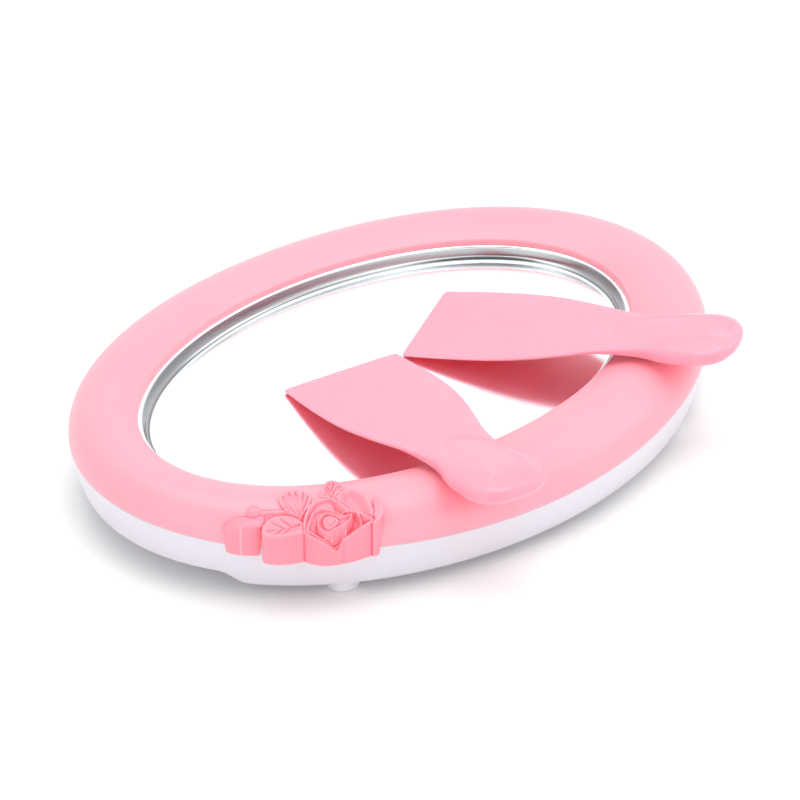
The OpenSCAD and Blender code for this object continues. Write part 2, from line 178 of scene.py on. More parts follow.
def noise(tree, scale, detail=2.0):
    """Noise in the object's own space; scale is per metre."""
    node = tree.nodes.new("ShaderNodeTexNoise")
    node.inputs["Scale"].default_value = scale
    node.inputs["Detail"].default_value = detail
    coords = tree.nodes.new("ShaderNodeTexCoord")
    tree.links.new(coords.outputs["Object"], node.inputs["Vector"])
    return node.outputs["Fac"]


def ramp(tree, source, steps):
    """Colour by the value of a source, through (value, colour) steps."""
    node = tree.nodes.new("ShaderNodeValToRGB")
    stops = node.color_ramp.elements
    for place, _ in steps[1:-1]:
        stops.new(place)
    for stop, (place, colour) in zip(stops, steps):
        stop.position, stop.color = place, (*colour, 1)
    tree.links.new(source, node.inputs["Fac"])
    return node.outputs["Color"]


def vary(tree, source, socket, low, high):
    """Feeds a socket with a value or colour that runs from low to high."""
    ends = [value if hasattr(value, "__len__") else (value,) * 3 for value in (low, high)]
    tree.links.new(ramp(tree, source, list(zip(NOISE_SPAN, ends))), socket)


def combine(tree, operation, first, second):
    """Result of one operation on two numbers, each a plain one or another node's output."""
    node = tree.nodes.new("ShaderNodeMath")
    node.operation = operation
    for socket, value in zip(node.inputs, (first, second)):
        if isinstance(value, (int, float)):
            socket.default_value = value
        else:
            tree.links.new(value, socket)
    return node.outputs["Value"]


def grain(tree, shader, scale, strength, depth):
    """Fine unevenness of a surface; scale is per metre, depth in metres."""
    bump = tree.nodes.new("ShaderNodeBump")
    bump.inputs["Strength"].default_value = strength
    bump.inputs["Distance"].default_value = depth
    tree.links.new(noise(tree, scale), bump.inputs["Height"])
    tree.links.new(bump.outputs["Normal"], shader.inputs["Normal"])


def plastic(name, colour, deep, rough, spread, scatter=0.0, reach=0.0, grain_scale=1800):
    """Moulded plastic: faint drift of colour, satin gloss, fine moulding grain.

    Scatter is the share of light that goes in under the surface, and reach how far in metres.
    """
    mat, tree, shader = material(name)
    vary(tree, noise(tree, COLOUR_DRIFT), shader.inputs["Base Color"], deep, colour)
    vary(tree, noise(tree, GLOSS_DRIFT, 3), shader.inputs["Roughness"], rough - spread, rough + spread)
    grain(tree, shader, grain_scale, 0.12, 0.0001)
    shader.inputs["IOR"].default_value = PLASTIC_IOR
    if scatter:
        shader.inputs["Subsurface Weight"].default_value = scatter
        shader.inputs["Subsurface Radius"].default_value = (1.0, 0.12, 0.16)
        shader.inputs["Subsurface Scale"].default_value = reach
    return mat


def metal(name, rough, spread):
    """Metal with a faint drift of gloss and a fine grain, still without its colour."""
    mat, tree, shader = material(name)
    vary(tree, noise(tree, 40, 4), shader.inputs["Roughness"], rough - spread, rough + spread)
    grain(tree, shader, 900, 0.05, 0.00005)
    shader.inputs["Metallic"].default_value = 1.0
    return mat, tree, shader


def steel_finish():
    """Plain steel of the screws and clips."""
    mat, tree, shader = metal("screw_steel", 0.32, 0.05)
    steel = (0.60, 0.61, 0.62)
    vary(tree, noise(tree, 18), shader.inputs["Base Color"], [c * 0.97 for c in steel], steel)
    return mat


def tray_with_painted_reflection():
    """Bright pressed metal: a clear floor, and a wall with grey bands of painted reflection that follow
    its height.
    """
    mat, tree, shader = metal("tray_metal", 0.15, 0.02)
    coords = tree.nodes.new("ShaderNodeTexCoord")
    height = tree.nodes.new("ShaderNodeSeparateXYZ")
    tree.links.new(coords.outputs["Object"], height.inputs["Vector"])
    share = tree.nodes.new("ShaderNodeMapRange")
    share.inputs["From Min"].default_value = FLOOR_Z * MM
    share.inputs["From Max"].default_value = SEAT_Z * MM
    tree.links.new(height.outputs["Z"], share.inputs["Value"])
    # share of the tray's depth and grey: floor, dark line at its foot, wall with bands of painted
    # reflection, flange
    greys_with_painted_reflection = [(0.0, 0.96), (0.03, 0.93), (0.07, 0.24), (0.12, 0.32), (0.2, 0.58), (0.42, 0.38),
             (0.7, 0.30), (0.86, 0.34), (0.93, 0.92), (1.0, 0.96)]
    steps = [(place, (grey * 0.97, grey * 1.01, grey * 1.03)) for place, grey in greys_with_painted_reflection]
    tree.links.new(ramp(tree, share.outputs["Result"], steps), shader.inputs["Base Color"])
    return mat


def rose_painted_shade_and_highlight():
    """Satin pink plastic, with painted shade deeper in the creases and painted highlight paler on the
    edges of petals and leaves.
    """
    mat, tree, shader = material("rose_pink")
    bend = tree.nodes.new("ShaderNodeNewGeometry").outputs["Pointiness"]
    drift = combine(tree, "MULTIPLY", combine(tree, "SUBTRACT", noise(tree, GLOSS_DRIFT), 0.5), 0.01)
    # bend of the surface, 0.5 where it is flat and moved a little by noise, and its colour: painted
    # shade where it bends in, painted highlight where it bends out
    steps = [(0.44, (0.50, 0.05, 0.09)), (0.485, (0.84, 0.16, 0.225)), (0.505, (0.95, 0.285, 0.355)),
             (0.57, (0.96, 0.36, 0.43))]
    tree.links.new(ramp(tree, combine(tree, "ADD", bend, drift), steps), shader.inputs["Base Color"])
    vary(tree, noise(tree, GLOSS_DRIFT, 3), shader.inputs["Roughness"], 0.40, 0.42)
    shader.inputs["IOR"].default_value = PLASTIC_IOR
    return mat


rim_pink = plastic("rim_pink", (0.96, 0.345, 0.415), (0.95, 0.33, 0.40), 0.36, 0.03)
rose_pink = rose_painted_shade_and_highlight()
scraper_pink = plastic("scraper_pink", (0.97, 0.35, 0.44), (0.96, 0.335, 0.425), 0.24, 0.005,
                       0.9, 0.006)
shell_white = plastic("shell_white", (0.68, 0.65, 0.71), (0.665, 0.635, 0.695), 0.4, 0.04)
foot_white = plastic("foot_white", (0.70, 0.68, 0.72), (0.68, 0.66, 0.70), 0.6, 0.04)
liner_white = plastic("liner_white", (0.82, 0.83, 0.85), (0.80, 0.81, 0.83), 0.45, 0.04)
seal_grey = plastic("seal_grey", (0.35, 0.36, 0.38), (0.33, 0.34, 0.36), 0.7, 0.05)
foam_white = plastic("foam_white", (0.86, 0.85, 0.80), (0.82, 0.81, 0.76), 0.85, 0.05, grain_scale=500)
gel_blue = plastic("gel_blue", (0.35, 0.62, 0.80), (0.32, 0.58, 0.77), 0.15, 0.03, 0.5, 0.01)
screw_steel = steel_finish()
tray_metal = tray_with_painted_reflection()


# ---- Rim ---------------------------------------------------------------------

def rim_face(share):
    """Height of the rim's face over the seam."""
    share = np.asarray(share, float)
    rise = RIM_RISE * np.sqrt(np.clip(1 - (1 - share / CROWN_AT) ** 2, 0, 1))
    fall = RIM_RISE - RIM_FALL * ((share - CROWN_AT) / (1 - CROWN_AT)) ** 2
    return np.where(share < CROWN_AT, rise, fall)


def rim_hoop(share, height):
    """Points round the oval, at a share of the rim's width and a height over the seam."""
    return np.stack([
        (HALF_L - share * RIM_W_END) * np.cos(ROUND) + share * TRAY_X,
        (HALF_W - share * RIM_W_SIDE) * np.sin(ROUND),
        SEAM_Z + height + climb(ROUND) * (1 - share)], -1)


def rim_profile():
    """Share of the width and height over the seam, round the rim's section."""
    lip = LIP_R / RIM_W_SIDE
    wall = RIM_WALL / RIM_W_SIDE
    shoulder = [(CROWN_AT * (1 - math.cos(t)), RIM_RISE * math.sin(t))
                for t in np.radians(np.linspace(2.5, 90, 28))]
    slope = [(s, float(rim_face(s))) for s in np.linspace(CROWN_AT, 1 - lip, 14)[1:]]
    low = float(rim_face(1 - lip)) - LIP_R
    roll = [(1 - lip * (1 - math.sin(t)), low + LIP_R * math.cos(t))
            for t in np.radians(np.linspace(0, 90, 9)[1:])]
    inner = [(s, float(rim_face(s)) - RIM_WALL) for s in (1, 0.9, 0.8, 0.7)]
    hollow = [(mix(wall, CROWN_AT, 1 - math.cos(t)), (RIM_RISE - RIM_WALL) * math.sin(t))
              for t in np.radians([90, 70, 50, 30, 15])]
    groove_h = TONGUE_H + FIT + SEAM_LIFT * wall
    step = [(wall, groove_h), (wall / 2, groove_h), (wall / 2, SEAM_RELIEF)]
    # the edge at the seam is rounded through one point between its two ends
    edge = SEAM_EDGE / RIM_W_SIDE
    seam = [(edge, 0.02), (0.3 * edge, 0.3 * SEAM_EDGE)]
    return shoulder + slope + roll + inner + hollow + step + seam


def build_rim():
    """The rim: its section carried round the oval, with the groove for the shell's tongue."""
    points, faces = loft([rim_hoop(s, h) for s, h in rim_profile()], closed=True)
    faces = [f[::-1] for f in faces]
    rim = piece("rim", points, faces, rim_pink)
    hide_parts("rim_cover")


# ---- Tray --------------------------------------------------------------------

def build_tray():
    """The pressed tray: its underside from the middle out, then its upper face back in."""
    seat_l, seat_w = HALF_L - RIM_W_END, HALF_W - RIM_W_SIDE
    foot_in = TRAY_LEDGE + TRAY_BEND_R + TRAY_LEAN
    # the upper face, as (distance inside the rim's edge, height): flange, bend, foot of the wall
    face = [(-FLANGE_W, SEAT_Z), (TRAY_LEDGE, SEAT_Z)]
    face += [(TRAY_LEDGE + TRAY_BEND_R * math.sin(t), SEAT_Z - TRAY_BEND_R * (1 - math.cos(t)))
             for t in np.radians(np.linspace(0, 80, 8)[1:])]
    face += [(foot_in + TRAY_FOOT_R * (1 - math.cos(t)), FLOOR_Z + TRAY_FOOT_R * (1 - math.sin(t)))
             for t in np.radians(np.linspace(5, 90, 16))]

    def tray_hoop(inset, z):
        return hoop(seat_l - inset, seat_w - inset, z, TRAY_X)

    under = [tray_hoop(inset - TRAY_T, z - TRAY_T) for inset, z in face[:1:-1]]
    under.append(tray_hoop(TRAY_LEDGE - TRAY_T, SEAT_Z - TRAY_T))
    under.append(tray_hoop(-FLANGE_W, SEAT_Z - TRAY_T))
    points, faces = loft(under + [tray_hoop(*p) for p in face])
    tray = piece("tray", points, faces, tray_metal)
    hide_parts("cold_tray")


# ---- Shell -------------------------------------------------------------------

def scoop(angle):
    """Height of the finger scoops at the shell's ends, at an angle round the oval."""
    return SCOOP_H * ease((SCOOP_REACH - np.abs(np.sin(angle))) / SCOOP_SLOPE)


def shell_hoop(share, inside, lift=0.0):
    """Points round the shell at a share of its height, inside its outer face."""
    inset = SHELL_DRAFT * (1 - share) - SHELL_BULGE * math.sin(math.pi * share) + inside
    low, high = FOOT_H + scoop(ROUND), SEAM_Z + climb(ROUND)
    return np.stack([(HALF_L - inset) * np.cos(ROUND), (HALF_W - inset) * np.sin(ROUND),
                     mix(low, high, share) + lift], -1)


def bottom_hoop(inset, z):
    """Points round the shell's underside, inside its lower edge."""
    return hoop(HALF_L - SHELL_DRAFT - inset, HALF_W - SHELL_DRAFT - inset, z)


def shell_skin():
    """Points and faces of the open shell with its tongue, before bosses and wells."""
    edge_to, wall_to = 0.05, 0.985
    tongue_in = RIM_WALL / 2 + FIT
    loops = [bottom_hoop(SCOOP_DEPTH, FOOT_H), shell_hoop(0, SHELL_EDGE_R)]
    loops += [shell_hoop(edge_to * (1 - math.cos(t)), SHELL_EDGE_R * (1 - math.sin(t)))
              for t in np.radians([30, 60])]
    loops += [shell_hoop(share, 0) for share in np.linspace(edge_to, wall_to, 14)]
    loops += [shell_hoop(1, SEAM_EDGE), shell_hoop(1, tongue_in), shell_hoop(1, tongue_in, TONGUE_H),
              shell_hoop(1, SHELL_WALL, TONGUE_H), shell_hoop(0.5, SHELL_WALL),
              shell_hoop(0, SHELL_WALL, SHELL_WALL), bottom_hoop(SCOOP_DEPTH, FOOT_H + SHELL_WALL)]
    return loft(loops)


def shell_spots(inset, angles):
    """Places round the shell's floor, at a distance inside the seam."""
    return [((HALF_L - inset) * math.cos(t), (HALF_W - inset) * math.sin(t)) for t in np.radians(angles)]


def shell_fittings():
    """The solids added to the shell's floor for screws and feet, and those cut from it."""
    screws = shell_spots(RIM_W_SIDE / 2, SCREW_ANGLES)
    feet = shell_spots(SHELL_DRAFT + SHELL_EDGE_R + FOOT_R + FIT, FOOT_ANGLES)
    inside, below = FOOT_H + 0.5, FOOT_H - 1
    well_top, web_top = FOOT_H + WELL_DEPTH, FOOT_H + WELL_DEPTH + WEB_T
    screw_boss, foot_boss = HEAD_R + SCREW_BOSS_T, STEM_R + FOOT_BOSS_T
    bosses = (turned([(screw_boss, inside), (screw_boss, web_top)], screws)
              + turned([(foot_boss, inside), (foot_boss, inside + STEM_L + SOCKET_TOP_T)], feet))
    head, screw, stem = HEAD_R + FIT, SCREW_R + FIT, STEM_R + STEM_FIT
    wells = (turned([(head, below), (head, well_top), (screw, well_top), (screw, web_top + 1)], screws)
             + turned([(stem, below), (stem, FOOT_H + STEM_L)], feet))
    return bosses, wells


def build_shell():
    """The shell with the bosses and wells of its screws and feet."""
    points, faces = shell_skin()
    rough = piece("shell_rough", points, faces, shell_white)
    bosses, wells = shell_fittings()
    for name, solids, operation in (("bosses", bosses, "UNION"), ("wells", wells, "DIFFERENCE")):
        tool = piece(name, *together(solids), shell_white)
        change = rough.modifiers.new(name, "BOOLEAN")
        change.operation, change.solver, change.object = operation, "EXACT", tool
    shell = settled(rough, "shell")
    for name in ("bosses", "wells"):
        bpy.data.objects.remove(bpy.data.objects[name])
    shell.data.shade_smooth()
    shell.data.set_sharp_from_angle(angle=math.radians(SHARP_ANGLE))
    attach(shell, "body")
    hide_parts("base_shell")


# ---- Rose --------------------------------------------------------------------
# Every form of the ornament is an outline in plan, with the height of its edge at each
# point, in percent of the bloom's radius: along the seam, inwards from it, and up from
# the level of the rim's crown.

LEFT_LOBE = [(-275, 56, -29), (-250, 61, -10), (-210, 62, -5), (-164, 56, -5), (-172, 24, -8),
             (-190, 16, -5), (-232, 19, -7), (-263, 32, -18)]
BUD = [(-213, 60, 1), (-209, 77, 7), (-195, 87, 9), (-180, 80, 7), (-168, 69, 5), (-177, 53, 1),
       (-197, 48, -1)]
STALK = [(-172, 62, 4), (-150, 62, 4), (-118, 58, 5), (-93, 50, 5)]
FRONT_LEAF = [(-173, -19, -11), (-175, 8, -7), (-155, 40, -3), (-120, 50, -1), (-82, 36, -2),
              (-64, 10, -4), (-65, -16, -7), (-100, -27, -11), (-140, -30, -12)]
BACK_LEAF = [(-125, 90, 18), (-119, 116, 20), (-98, 130, 21), (-60, 127, 21), (-37, 100, 20),
             (-53, 53, 15), (-80, 24, 6), (-106, 48, 11)]
TOP_LEAF = [(-11, 87, 20), (-9, 122, 22), (3, 151, 23), (17, 161, 23), (33, 157, 23),
            (51, 141, 23), (52, 117, 22), (33, 93, 21)]
CUP_PETAL = [(20, 60, 17), (27, 91, 20), (45, 114, 21), (75, 119, 22), (102, 95, 20),
             (117, 53, 15), (117, 13, 5), (67, 0, 3)]
SIDE_PETAL = [(115, -3, -3), (121, 33, 5), (124, 73, 12), (131, 89, 15), (144, 84, 15),
              (149, 53, 11), (147, 27, 5), (135, 7, 0)]
BLOOM = [(-67, -15, -11), (-66, 10, 5), (-58, 40, 12), (-35, 75, 18), (1, 89, 20), (24, 82, 20),
         (52, 43, 16), (92, 28, 9), (120, 11, -5), (97, -8, -7), (53, -28, -24), (34, -32, -32),
         (19, -37, -66), (-1, -40, -48), (-27, -39, -27), (-52, -29, -18)]
FOLD = [(-61, -11, -6), (-49, 22, 7), (-36, 46, 11), (-8, 54, 13), (29, 29, 13), (42, 4, 8),
        (36, -22, -30), (15, -31, -60), (-16, -32, -31), (-49, -21, -11)]
RIGHT_FOLD = [(35, 29, 15), (54, 36, 16), (76, 31, 14), (87, 1, 9), (82, -6, -9), (62, -17, -17),
              (40, -24, -27), (42, -4, 7)]
CORE = [(-29, -13, 3), (-28, 14, 6), (-8, 37, 11), (16, 30, 12), (31, 17, 12), (62, 23, 13),
        (59, 5, 11), (41, -12, 6), (14, -21, -1), (-5, -25, -10)]
HEART = [(-15, 1, 4), (-11, 15, 7), (4, 20, 8), (19, 13, 8), (26, 1, 6), (17, -11, 1),
         (-1, -18, -7), (-11, -11, -2)]
# Low ground that joins the stalk end of the leaves and the back of the bloom
LEAF_BASE = [(-182, 22, -12), (-178, 58, -8), (-150, 64, -6), (-122, 60, -6), (-135, 36, -8),
             (-160, 24, -10)]
BLOOM_BASE = [(-98, 18, -8), (-92, 44, -4), (-62, 62, 0), (-48, 42, 0), (-52, 8, -6), (-76, 2, -9)]
# Veins of the leaves, each from its root to its end
LOBE_VEINS = [((-168, 42), (-262, 44)), ((-190, 42), (-222, 56)), ((-205, 42), (-240, 28))]
FRONT_VEINS = [((-76, 10), (-165, -2)), ((-98, 8), (-124, 36)), ((-118, 4), (-148, 28)),
               ((-104, 5), (-122, -20)), ((-126, 2), (-146, -22))]
BACK_VEINS = [((-80, 34), (-114, 78)), ((-78, 38), (-112, 106)), ((-74, 40), (-96, 124)),
              ((-70, 42), (-78, 124)), ((-66, 48), (-58, 118)), ((-62, 56), (-46, 100))]
TOP_VEINS = [((15, 92), (15, 150)), ((16, 104), (2, 132)), ((16, 104), (32, 136)),
             ((15, 120), (6, 148)), ((15, 120), (26, 150))]
# Forms of the ornament in the order they are laid, each over those before it: outline, fall
# inside its edge, width of that fall, rounding of the edge, width and depth of the crease
# round it, and veins with their width and depth
ROSE_FORMS = [
    (LEAF_BASE, 0.3, 1.0, 0.3, 0, 0, None),
    (BLOOM_BASE, 0.3, 1.0, 0.3, 0, 0, None),
    (LEFT_LOBE, -0.5, 4.0, 1.6, 0, 0, (LOBE_VEINS, 0.8, 0.3)),
    (BACK_LEAF, 0.7, 3.0, 0.9, 0, 0, (BACK_VEINS, 0.55, 1.5)),
    (TOP_LEAF, 0.9, 2.6, 0.8, 0, 0, (TOP_VEINS, 0.6, 1.5)),
    (BUD, -0.7, 2.4, 1.4, 0.6, 0.8, None),
    (FRONT_LEAF, 0.8, 4.0, 1.1, 0.6, 1.8, (FRONT_VEINS, 0.7, 0.8)),
    (CUP_PETAL, 1.9, 4.5, 0.9, 0.6, 1.4, None),
    (SIDE_PETAL, -0.1, 1.5, 0.8, 0.4, 1.2, None),
    (BLOOM, 2.9, 3.0, 0.8, 0.7, 1.8, None),
    (FOLD, 2.0, 1.7, 0.55, 0.6, 2.2, None),
    (RIGHT_FOLD, 4.2, 1.3, 0.5, 0.45, 1.8, None),
    (CORE, 2.0, 1.35, 0.5, 0.6, 2.2, None),
    (HEART, 0.6, 1.1, 0.45, 0.5, 1.9, None)]
BLOOM_R, STALK_R, ROSE_SKIRT = 15.0, 1.4, 3.4
ROSE_GAP, ROSE_LEAST_T = 0.12, 0.5
# The grid in plan that holds the heights, its range along the seam and inwards from it, its
# softening, and the cell of the even mesh that is made from it
GRID, GRID_ALONG, GRID_INWARDS = 0.22, (-43, 24), (-8, 26)
GRID_BLUR, ROSE_VOXEL = 0.2, 0.26
# Stands in the grid for no height
EMPTY = -1e9


def in_mm(points):
    """Points in percent of the bloom's radius, brought to millimetres."""
    points = np.array(points, float) * BLOOM_R / 100
    if points.shape[1] == 3:
        points[:, 2] += SEAM_Z + RIM_RISE
    return points


def spline(points, steps=8):
    """Closed smooth curve through points, in a few steps between each two."""
    before, after = np.roll(points, 1, 0), np.roll(points, -1, 0)
    beyond = np.roll(points, -2, 0)
    curve = []
    for t in np.arange(steps) / steps:
        curve.append(0.5 * (2 * points + (after - before) * t
                            + (2 * before - 5 * points + 4 * after - beyond) * t ** 2
                            + (3 * points - before - 3 * after + beyond) * t ** 3))
    return np.stack(curve, 1).reshape(-1, points.shape[1])


def measure(curve, x, y):
    """Distance inside a closed curve (negative outside) and the height carried in from it.

    A stretch of the curve weighs more the nearer it is; the softening keeps that weight finite.
    """
    softening = 0.09
    ends = np.roll(curve, -1, 0)
    near = np.full(x.shape, 1e9)
    weight, height = np.zeros(x.shape), np.zeros(x.shape)
    inside = np.zeros(x.shape, bool)
    for (ax, ay, az), (bx, by, bz) in zip(curve, ends):
        span = (bx - ax) ** 2 + (by - ay) ** 2 + 1e-9
        t = np.clip(((x - ax) * (bx - ax) + (y - ay) * (by - ay)) / span, 0, 1)
        away = (x - ax - t * (bx - ax)) ** 2 + (y - ay - t * (by - ay)) ** 2
        near = np.minimum(near, away)
        w = math.sqrt(span) / (away + softening) ** 1.5
        weight += w
        height += w * (az + t * (bz - az))
        crosses = (ay > y) != (by > y)
        with np.errstate(divide="ignore", invalid="ignore"):
            inside ^= crosses & (x < (bx - ax) * (y - ay) / (by - ay) + ax)
    return np.where(inside, 1, -1) * np.sqrt(near), height / weight


def blur(field, reach):
    """Softens a field with a small bell-shaped window."""
    offsets = np.arange(-int(3 * reach / GRID), int(3 * reach / GRID) + 1)
    bell = np.exp(-0.5 * (offsets * GRID / reach) ** 2)
    bell /= bell.sum()
    for axis in (0, 1):
        margins = [(0, 0), (0, 0)]
        margins[axis] = (len(offsets) // 2,) * 2
        padded = np.pad(field, margins, "edge")
        field = sum(w * np.take(padded, range(i, i + field.shape[axis]), axis)
                    for i, w in enumerate(bell))
    return field


def groove(x, y, start, end, width, depth):
    """Depth of a straight groove that grows shallower and narrower towards its end."""
    (sx, sy), (ex, ey) = start, end
    span = (ex - sx) ** 2 + (ey - sy) ** 2
    t = np.clip(((x - sx) * (ex - sx) + (y - sy) * (ey - sy)) / span, 0, 1)
    away = np.hypot(x - sx - t * (ex - sx), y - sy - t * (ey - sy))
    return depth * (1 - 0.7 * t) * np.exp(-(away / (width * (1 - 0.4 * t))) ** 2)


def veins(lines, x, y, width, depth):
    """Depth of the deepest of several veins."""
    return np.max([groove(x, y, *in_mm(line), width, depth) for line in lines], 0)


def filled(heights):
    """Where a grid holds a height."""
    return heights > EMPTY / 10


def full_cells(there):
    """The cells of a grid that have all four corners filled."""
    return there[:-1, :-1] & there[1:, :-1] & there[:-1, 1:] & there[1:, 1:]


def stalk_height(x, y):
    """Top of the round stalk over a grid, and empty beside it."""
    line = in_mm(STALK)
    top = np.full(x.shape, EMPTY)
    for (ax, ay, az), (bx, by, bz) in zip(line, line[1:]):
        span = (bx - ax) ** 2 + (by - ay) ** 2
        t = np.clip(((x - ax) * (bx - ax) + (y - ay) * (by - ay)) / span, 0, 1)
        away = (x - ax - t * (bx - ax)) ** 2 + (y - ay - t * (by - ay)) ** 2
        crest = az + t * (bz - az) - STALK_R + np.sqrt(np.clip(STALK_R ** 2 - away, 0, None))
        top = np.maximum(top, np.where(away < STALK_R ** 2, crest, EMPTY))
    return top


def creased(top, level, depth, gap, deep):
    """The ground of a form that is about to be laid, lowered to a crease along its edge."""
    beside = np.clip(-depth / gap, 0, 1)
    lowered = np.minimum(top, np.maximum(top - deep, level - deep))
    return np.where((depth <= 0) & (beside < 1) & filled(top),
                    lowered * (1 - ease(beside)) + top * ease(beside), top)


def form_face(level, depth, fall, band, edge):
    """Face of a form: the height carried in, with the fall inside the edge and its rounding."""
    lip = np.clip(edge - depth, 0, edge)
    return level - fall * ease(depth / band) - (edge - np.sqrt(edge ** 2 - lip ** 2))


def lay_forms(x, y):
    """Top of the ornament over a grid, and the distance inside the nearest form's outline."""
    top, reach = np.full(x.shape, EMPTY), np.full(x.shape, EMPTY)
    for outline, fall, band, edge, gap, deep, lines in ROSE_FORMS:
        depth, level = measure(spline(in_mm(outline)), x, y)
        reach = np.maximum(reach, depth)
        if gap:
            top = creased(top, level, depth, gap, deep)
        level = form_face(level, depth, fall, band, edge)
        if lines:
            level = level - veins(lines[0], x, y, *lines[1:])
        top = np.where(depth > 0, level, top)
        # the stalk grows out of the bud and lies under the forms that follow
        if outline is BUD:
            stalk = stalk_height(x, y)
            top = np.maximum(top, stalk)
            reach = np.where(filled(stalk), np.maximum(reach, GRID), reach)
    return top, reach


def to_outline(x, y, reach, there):
    """The grid's places, with those at the edge of its full cells moved onto the outline."""
    padded = np.pad(full_cells(there), 1).astype(int)
    used = padded[:-1, :-1] + padded[1:, :-1] + padded[:-1, 1:] + padded[1:, 1:]
    beside = (used > 0) & (used < 4)
    slope_x, slope_y = np.gradient(reach, GRID)
    steep = np.maximum(np.hypot(slope_x, slope_y), 0.5)
    return (np.where(beside, x - reach * slope_x / steep ** 2, x),
            np.where(beside, y - reach * slope_y / steep ** 2, y))


def rose_heights():
    """Places in plan, the top of the ornament over them, and where there is any."""
    x, y = np.meshgrid(np.arange(*GRID_ALONG, GRID), np.arange(*GRID_INWARDS, GRID), indexing="ij")
    top, reach = lay_forms(x, y)
    there = filled(top)
    spread = blur(there.astype(float), GRID_BLUR)
    top = blur(np.where(there, top, 0), GRID_BLUR) / np.maximum(spread, 1e-3)
    x, y = to_outline(x, y, reach, there)
    return x, y, top, there


def rim_level(x, y):
    """Height of the rim's face over places in plan, and how far in from the seam they are."""
    low, high = np.full(x.shape, -0.5), np.ones(x.shape)
    # the share of the rim's width is found by halving the range that it lies in
    for _ in range(24):
        share = (low + high) / 2
        half_l, half_w = HALF_L - share * RIM_W_END, HALF_W - share * RIM_W_SIDE
        inside = ((x - share * TRAY_X) / half_l) ** 2 + (y / half_w) ** 2 < 1
        low, high = np.where(inside, share, low), np.where(inside, high, share)
    angle = np.arctan2(y / half_w, (x - share * TRAY_X) / half_l)
    return SEAM_Z + rim_face(np.clip(share, 0, 1)) + climb(angle) * (1 - share), share


def height_solid(px, py, top, low, there):
    """Points and faces of a solid between two height fields over one grid."""
    rows, cols = top.shape
    cells = full_cells(there)
    number = np.arange(rows * cols).reshape(rows, cols)
    a, b = number[:-1, :-1], number[1:, :-1]
    c, d = number[1:, 1:], number[:-1, 1:]
    under = rows * cols
    padded = np.pad(cells, 1)
    # upper and lower side of every full cell, then a wall at each side without a neighbour
    faces = [np.stack([a, b, c, d], -1)[cells], np.stack([d, c, b, a], -1)[cells] + under]
    for (p, q), open_side in (((a, b), ~padded[1:-1, :-2]), ((b, c), ~padded[2:, 1:-1]),
                              ((c, d), ~padded[1:-1, 2:]), ((d, a), ~padded[:-2, 1:-1])):
        edge = cells & open_side
        faces.append(np.stack([p[edge] + under, q[edge] + under, q[edge], p[edge]], -1))
    points = np.concatenate([np.stack([px, py, top], -1).reshape(-1, 3),
                             np.stack([px, py, low], -1).reshape(-1, 3)])
    used, index = np.unique(np.concatenate(faces), return_inverse=True)
    return points[used], index.reshape(-1, 4).tolist()


def on_rim(x, y):
    """Places in plan at the ornament's spot on the seam, from those along it and inwards."""
    turn = math.radians(ROSE_ANGLE)
    spot = np.array([HALF_L * math.cos(turn), HALF_W * math.sin(turn)])
    along = np.array([-HALF_L * math.sin(turn), HALF_W * math.cos(turn)])
    pace = np.linalg.norm(along)
    along /= pace
    px = spot[0] + x * along[0] - y * along[1]
    py = spot[1] + x * along[1] + y * along[0]
    return px, py, turn + x / pace


def build_rose():
    """The ornament: a solid between its top and the rim, made an even mesh and softened."""
    x, y, top, there = rose_heights()
    px, py, around = on_rim(x, y)
    level, share = rim_level(px, py)
    low = np.where(share > 0, level + ROSE_GAP, SEAM_Z + climb(around) - ROSE_SKIRT)
    top = np.maximum(top, low + ROSE_LEAST_T)
    points, faces = height_solid(px, py, top, low, there)
    rough = piece("rose_rough", points, faces, rose_pink)
    remesh = rough.modifiers.new("even", "REMESH")
    remesh.mode = "VOXEL"
    remesh.voxel_size = ROSE_VOXEL * MM
    soft = rough.modifiers.new("soft", "SMOOTH")
    soft.factor = 0.5
    soft.iterations = 5
    rose = settled(rough, "rose")
    rose.data.shade_smooth()
    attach(rose, "body")
    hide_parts("rose_ornament")


# ---- Scrapers ----------------------------------------------------------------

SCRAPER_L, TIP_W, BLADE_W, NECK_W, BULB_W = 142.0, 55.7, 56.8, 30.3, 36.1
TIP_T, BLADE_T, BULB_T, BULB_RISE = 1.2, 2.4, 12.2, 2.5
NECK_AT, BULB_AT, HANDLE_FROM = 0.704 * SCRAPER_L, 0.882 * SCRAPER_L, 0.54 * SCRAPER_L
CAP_L = SCRAPER_L - BULB_AT
CORNER_R, END_POWER = 1.5, 2.4
NARROW_FROM, NARROW_POWER = 20.0, 1.47
RISE_LEAD, REST_GAP = 15.0, 0.3
# Power of the section's curve, which is an ellipse at 1 and nearer a box the lower it is
BLADE_ROUNDING, BULB_ROUNDING = 0.35, 0.85
# Outline of the thumb pad on a handle: along the scraper, across it, and no height
PAD = [(85.6, -0.5, 0), (87.2, 4.6, 0), (91, 8.6, 0), (98, 10.6, 0), (108, 11.4, 0), (120, 11.4, 0),
       (129, 10.9, 0), (135.6, 8.4, 0), (138.6, 3.6, 0), (139.2, -3, 0), (137.6, -9, 0),
       (133, -8.4, 0), (126.8, -6.2, 0), (118, -5.0, 0), (108, -4.5, 0), (96, -4.3, 0), (89, -3.9, 0)]
PAD_SUNK, PAD_SLOPE, LINE_DEPTH, LINE_W = 0.55, 2.2, 0.42, 0.5
# Share of the way up a section's side at which the relief is full
RELIEF_FADE = 0.6
# Thumb's dimples: place along and across the scraper, reach and depth
DIMPLES = [((130.5, -12.0), 4.2, 0.8), ((134.5, 1.5), 5.0, 1.0)]
# Ridge between the dimples: place along and across the scraper, its lean, and its size
RIDGE_S, RIDGE_A, RIDGE_LEAN = 131.0, -6.0, 0.5
RIDGE_H, RIDGE_W, RIDGE_L = 0.5, 1.2, 3.5


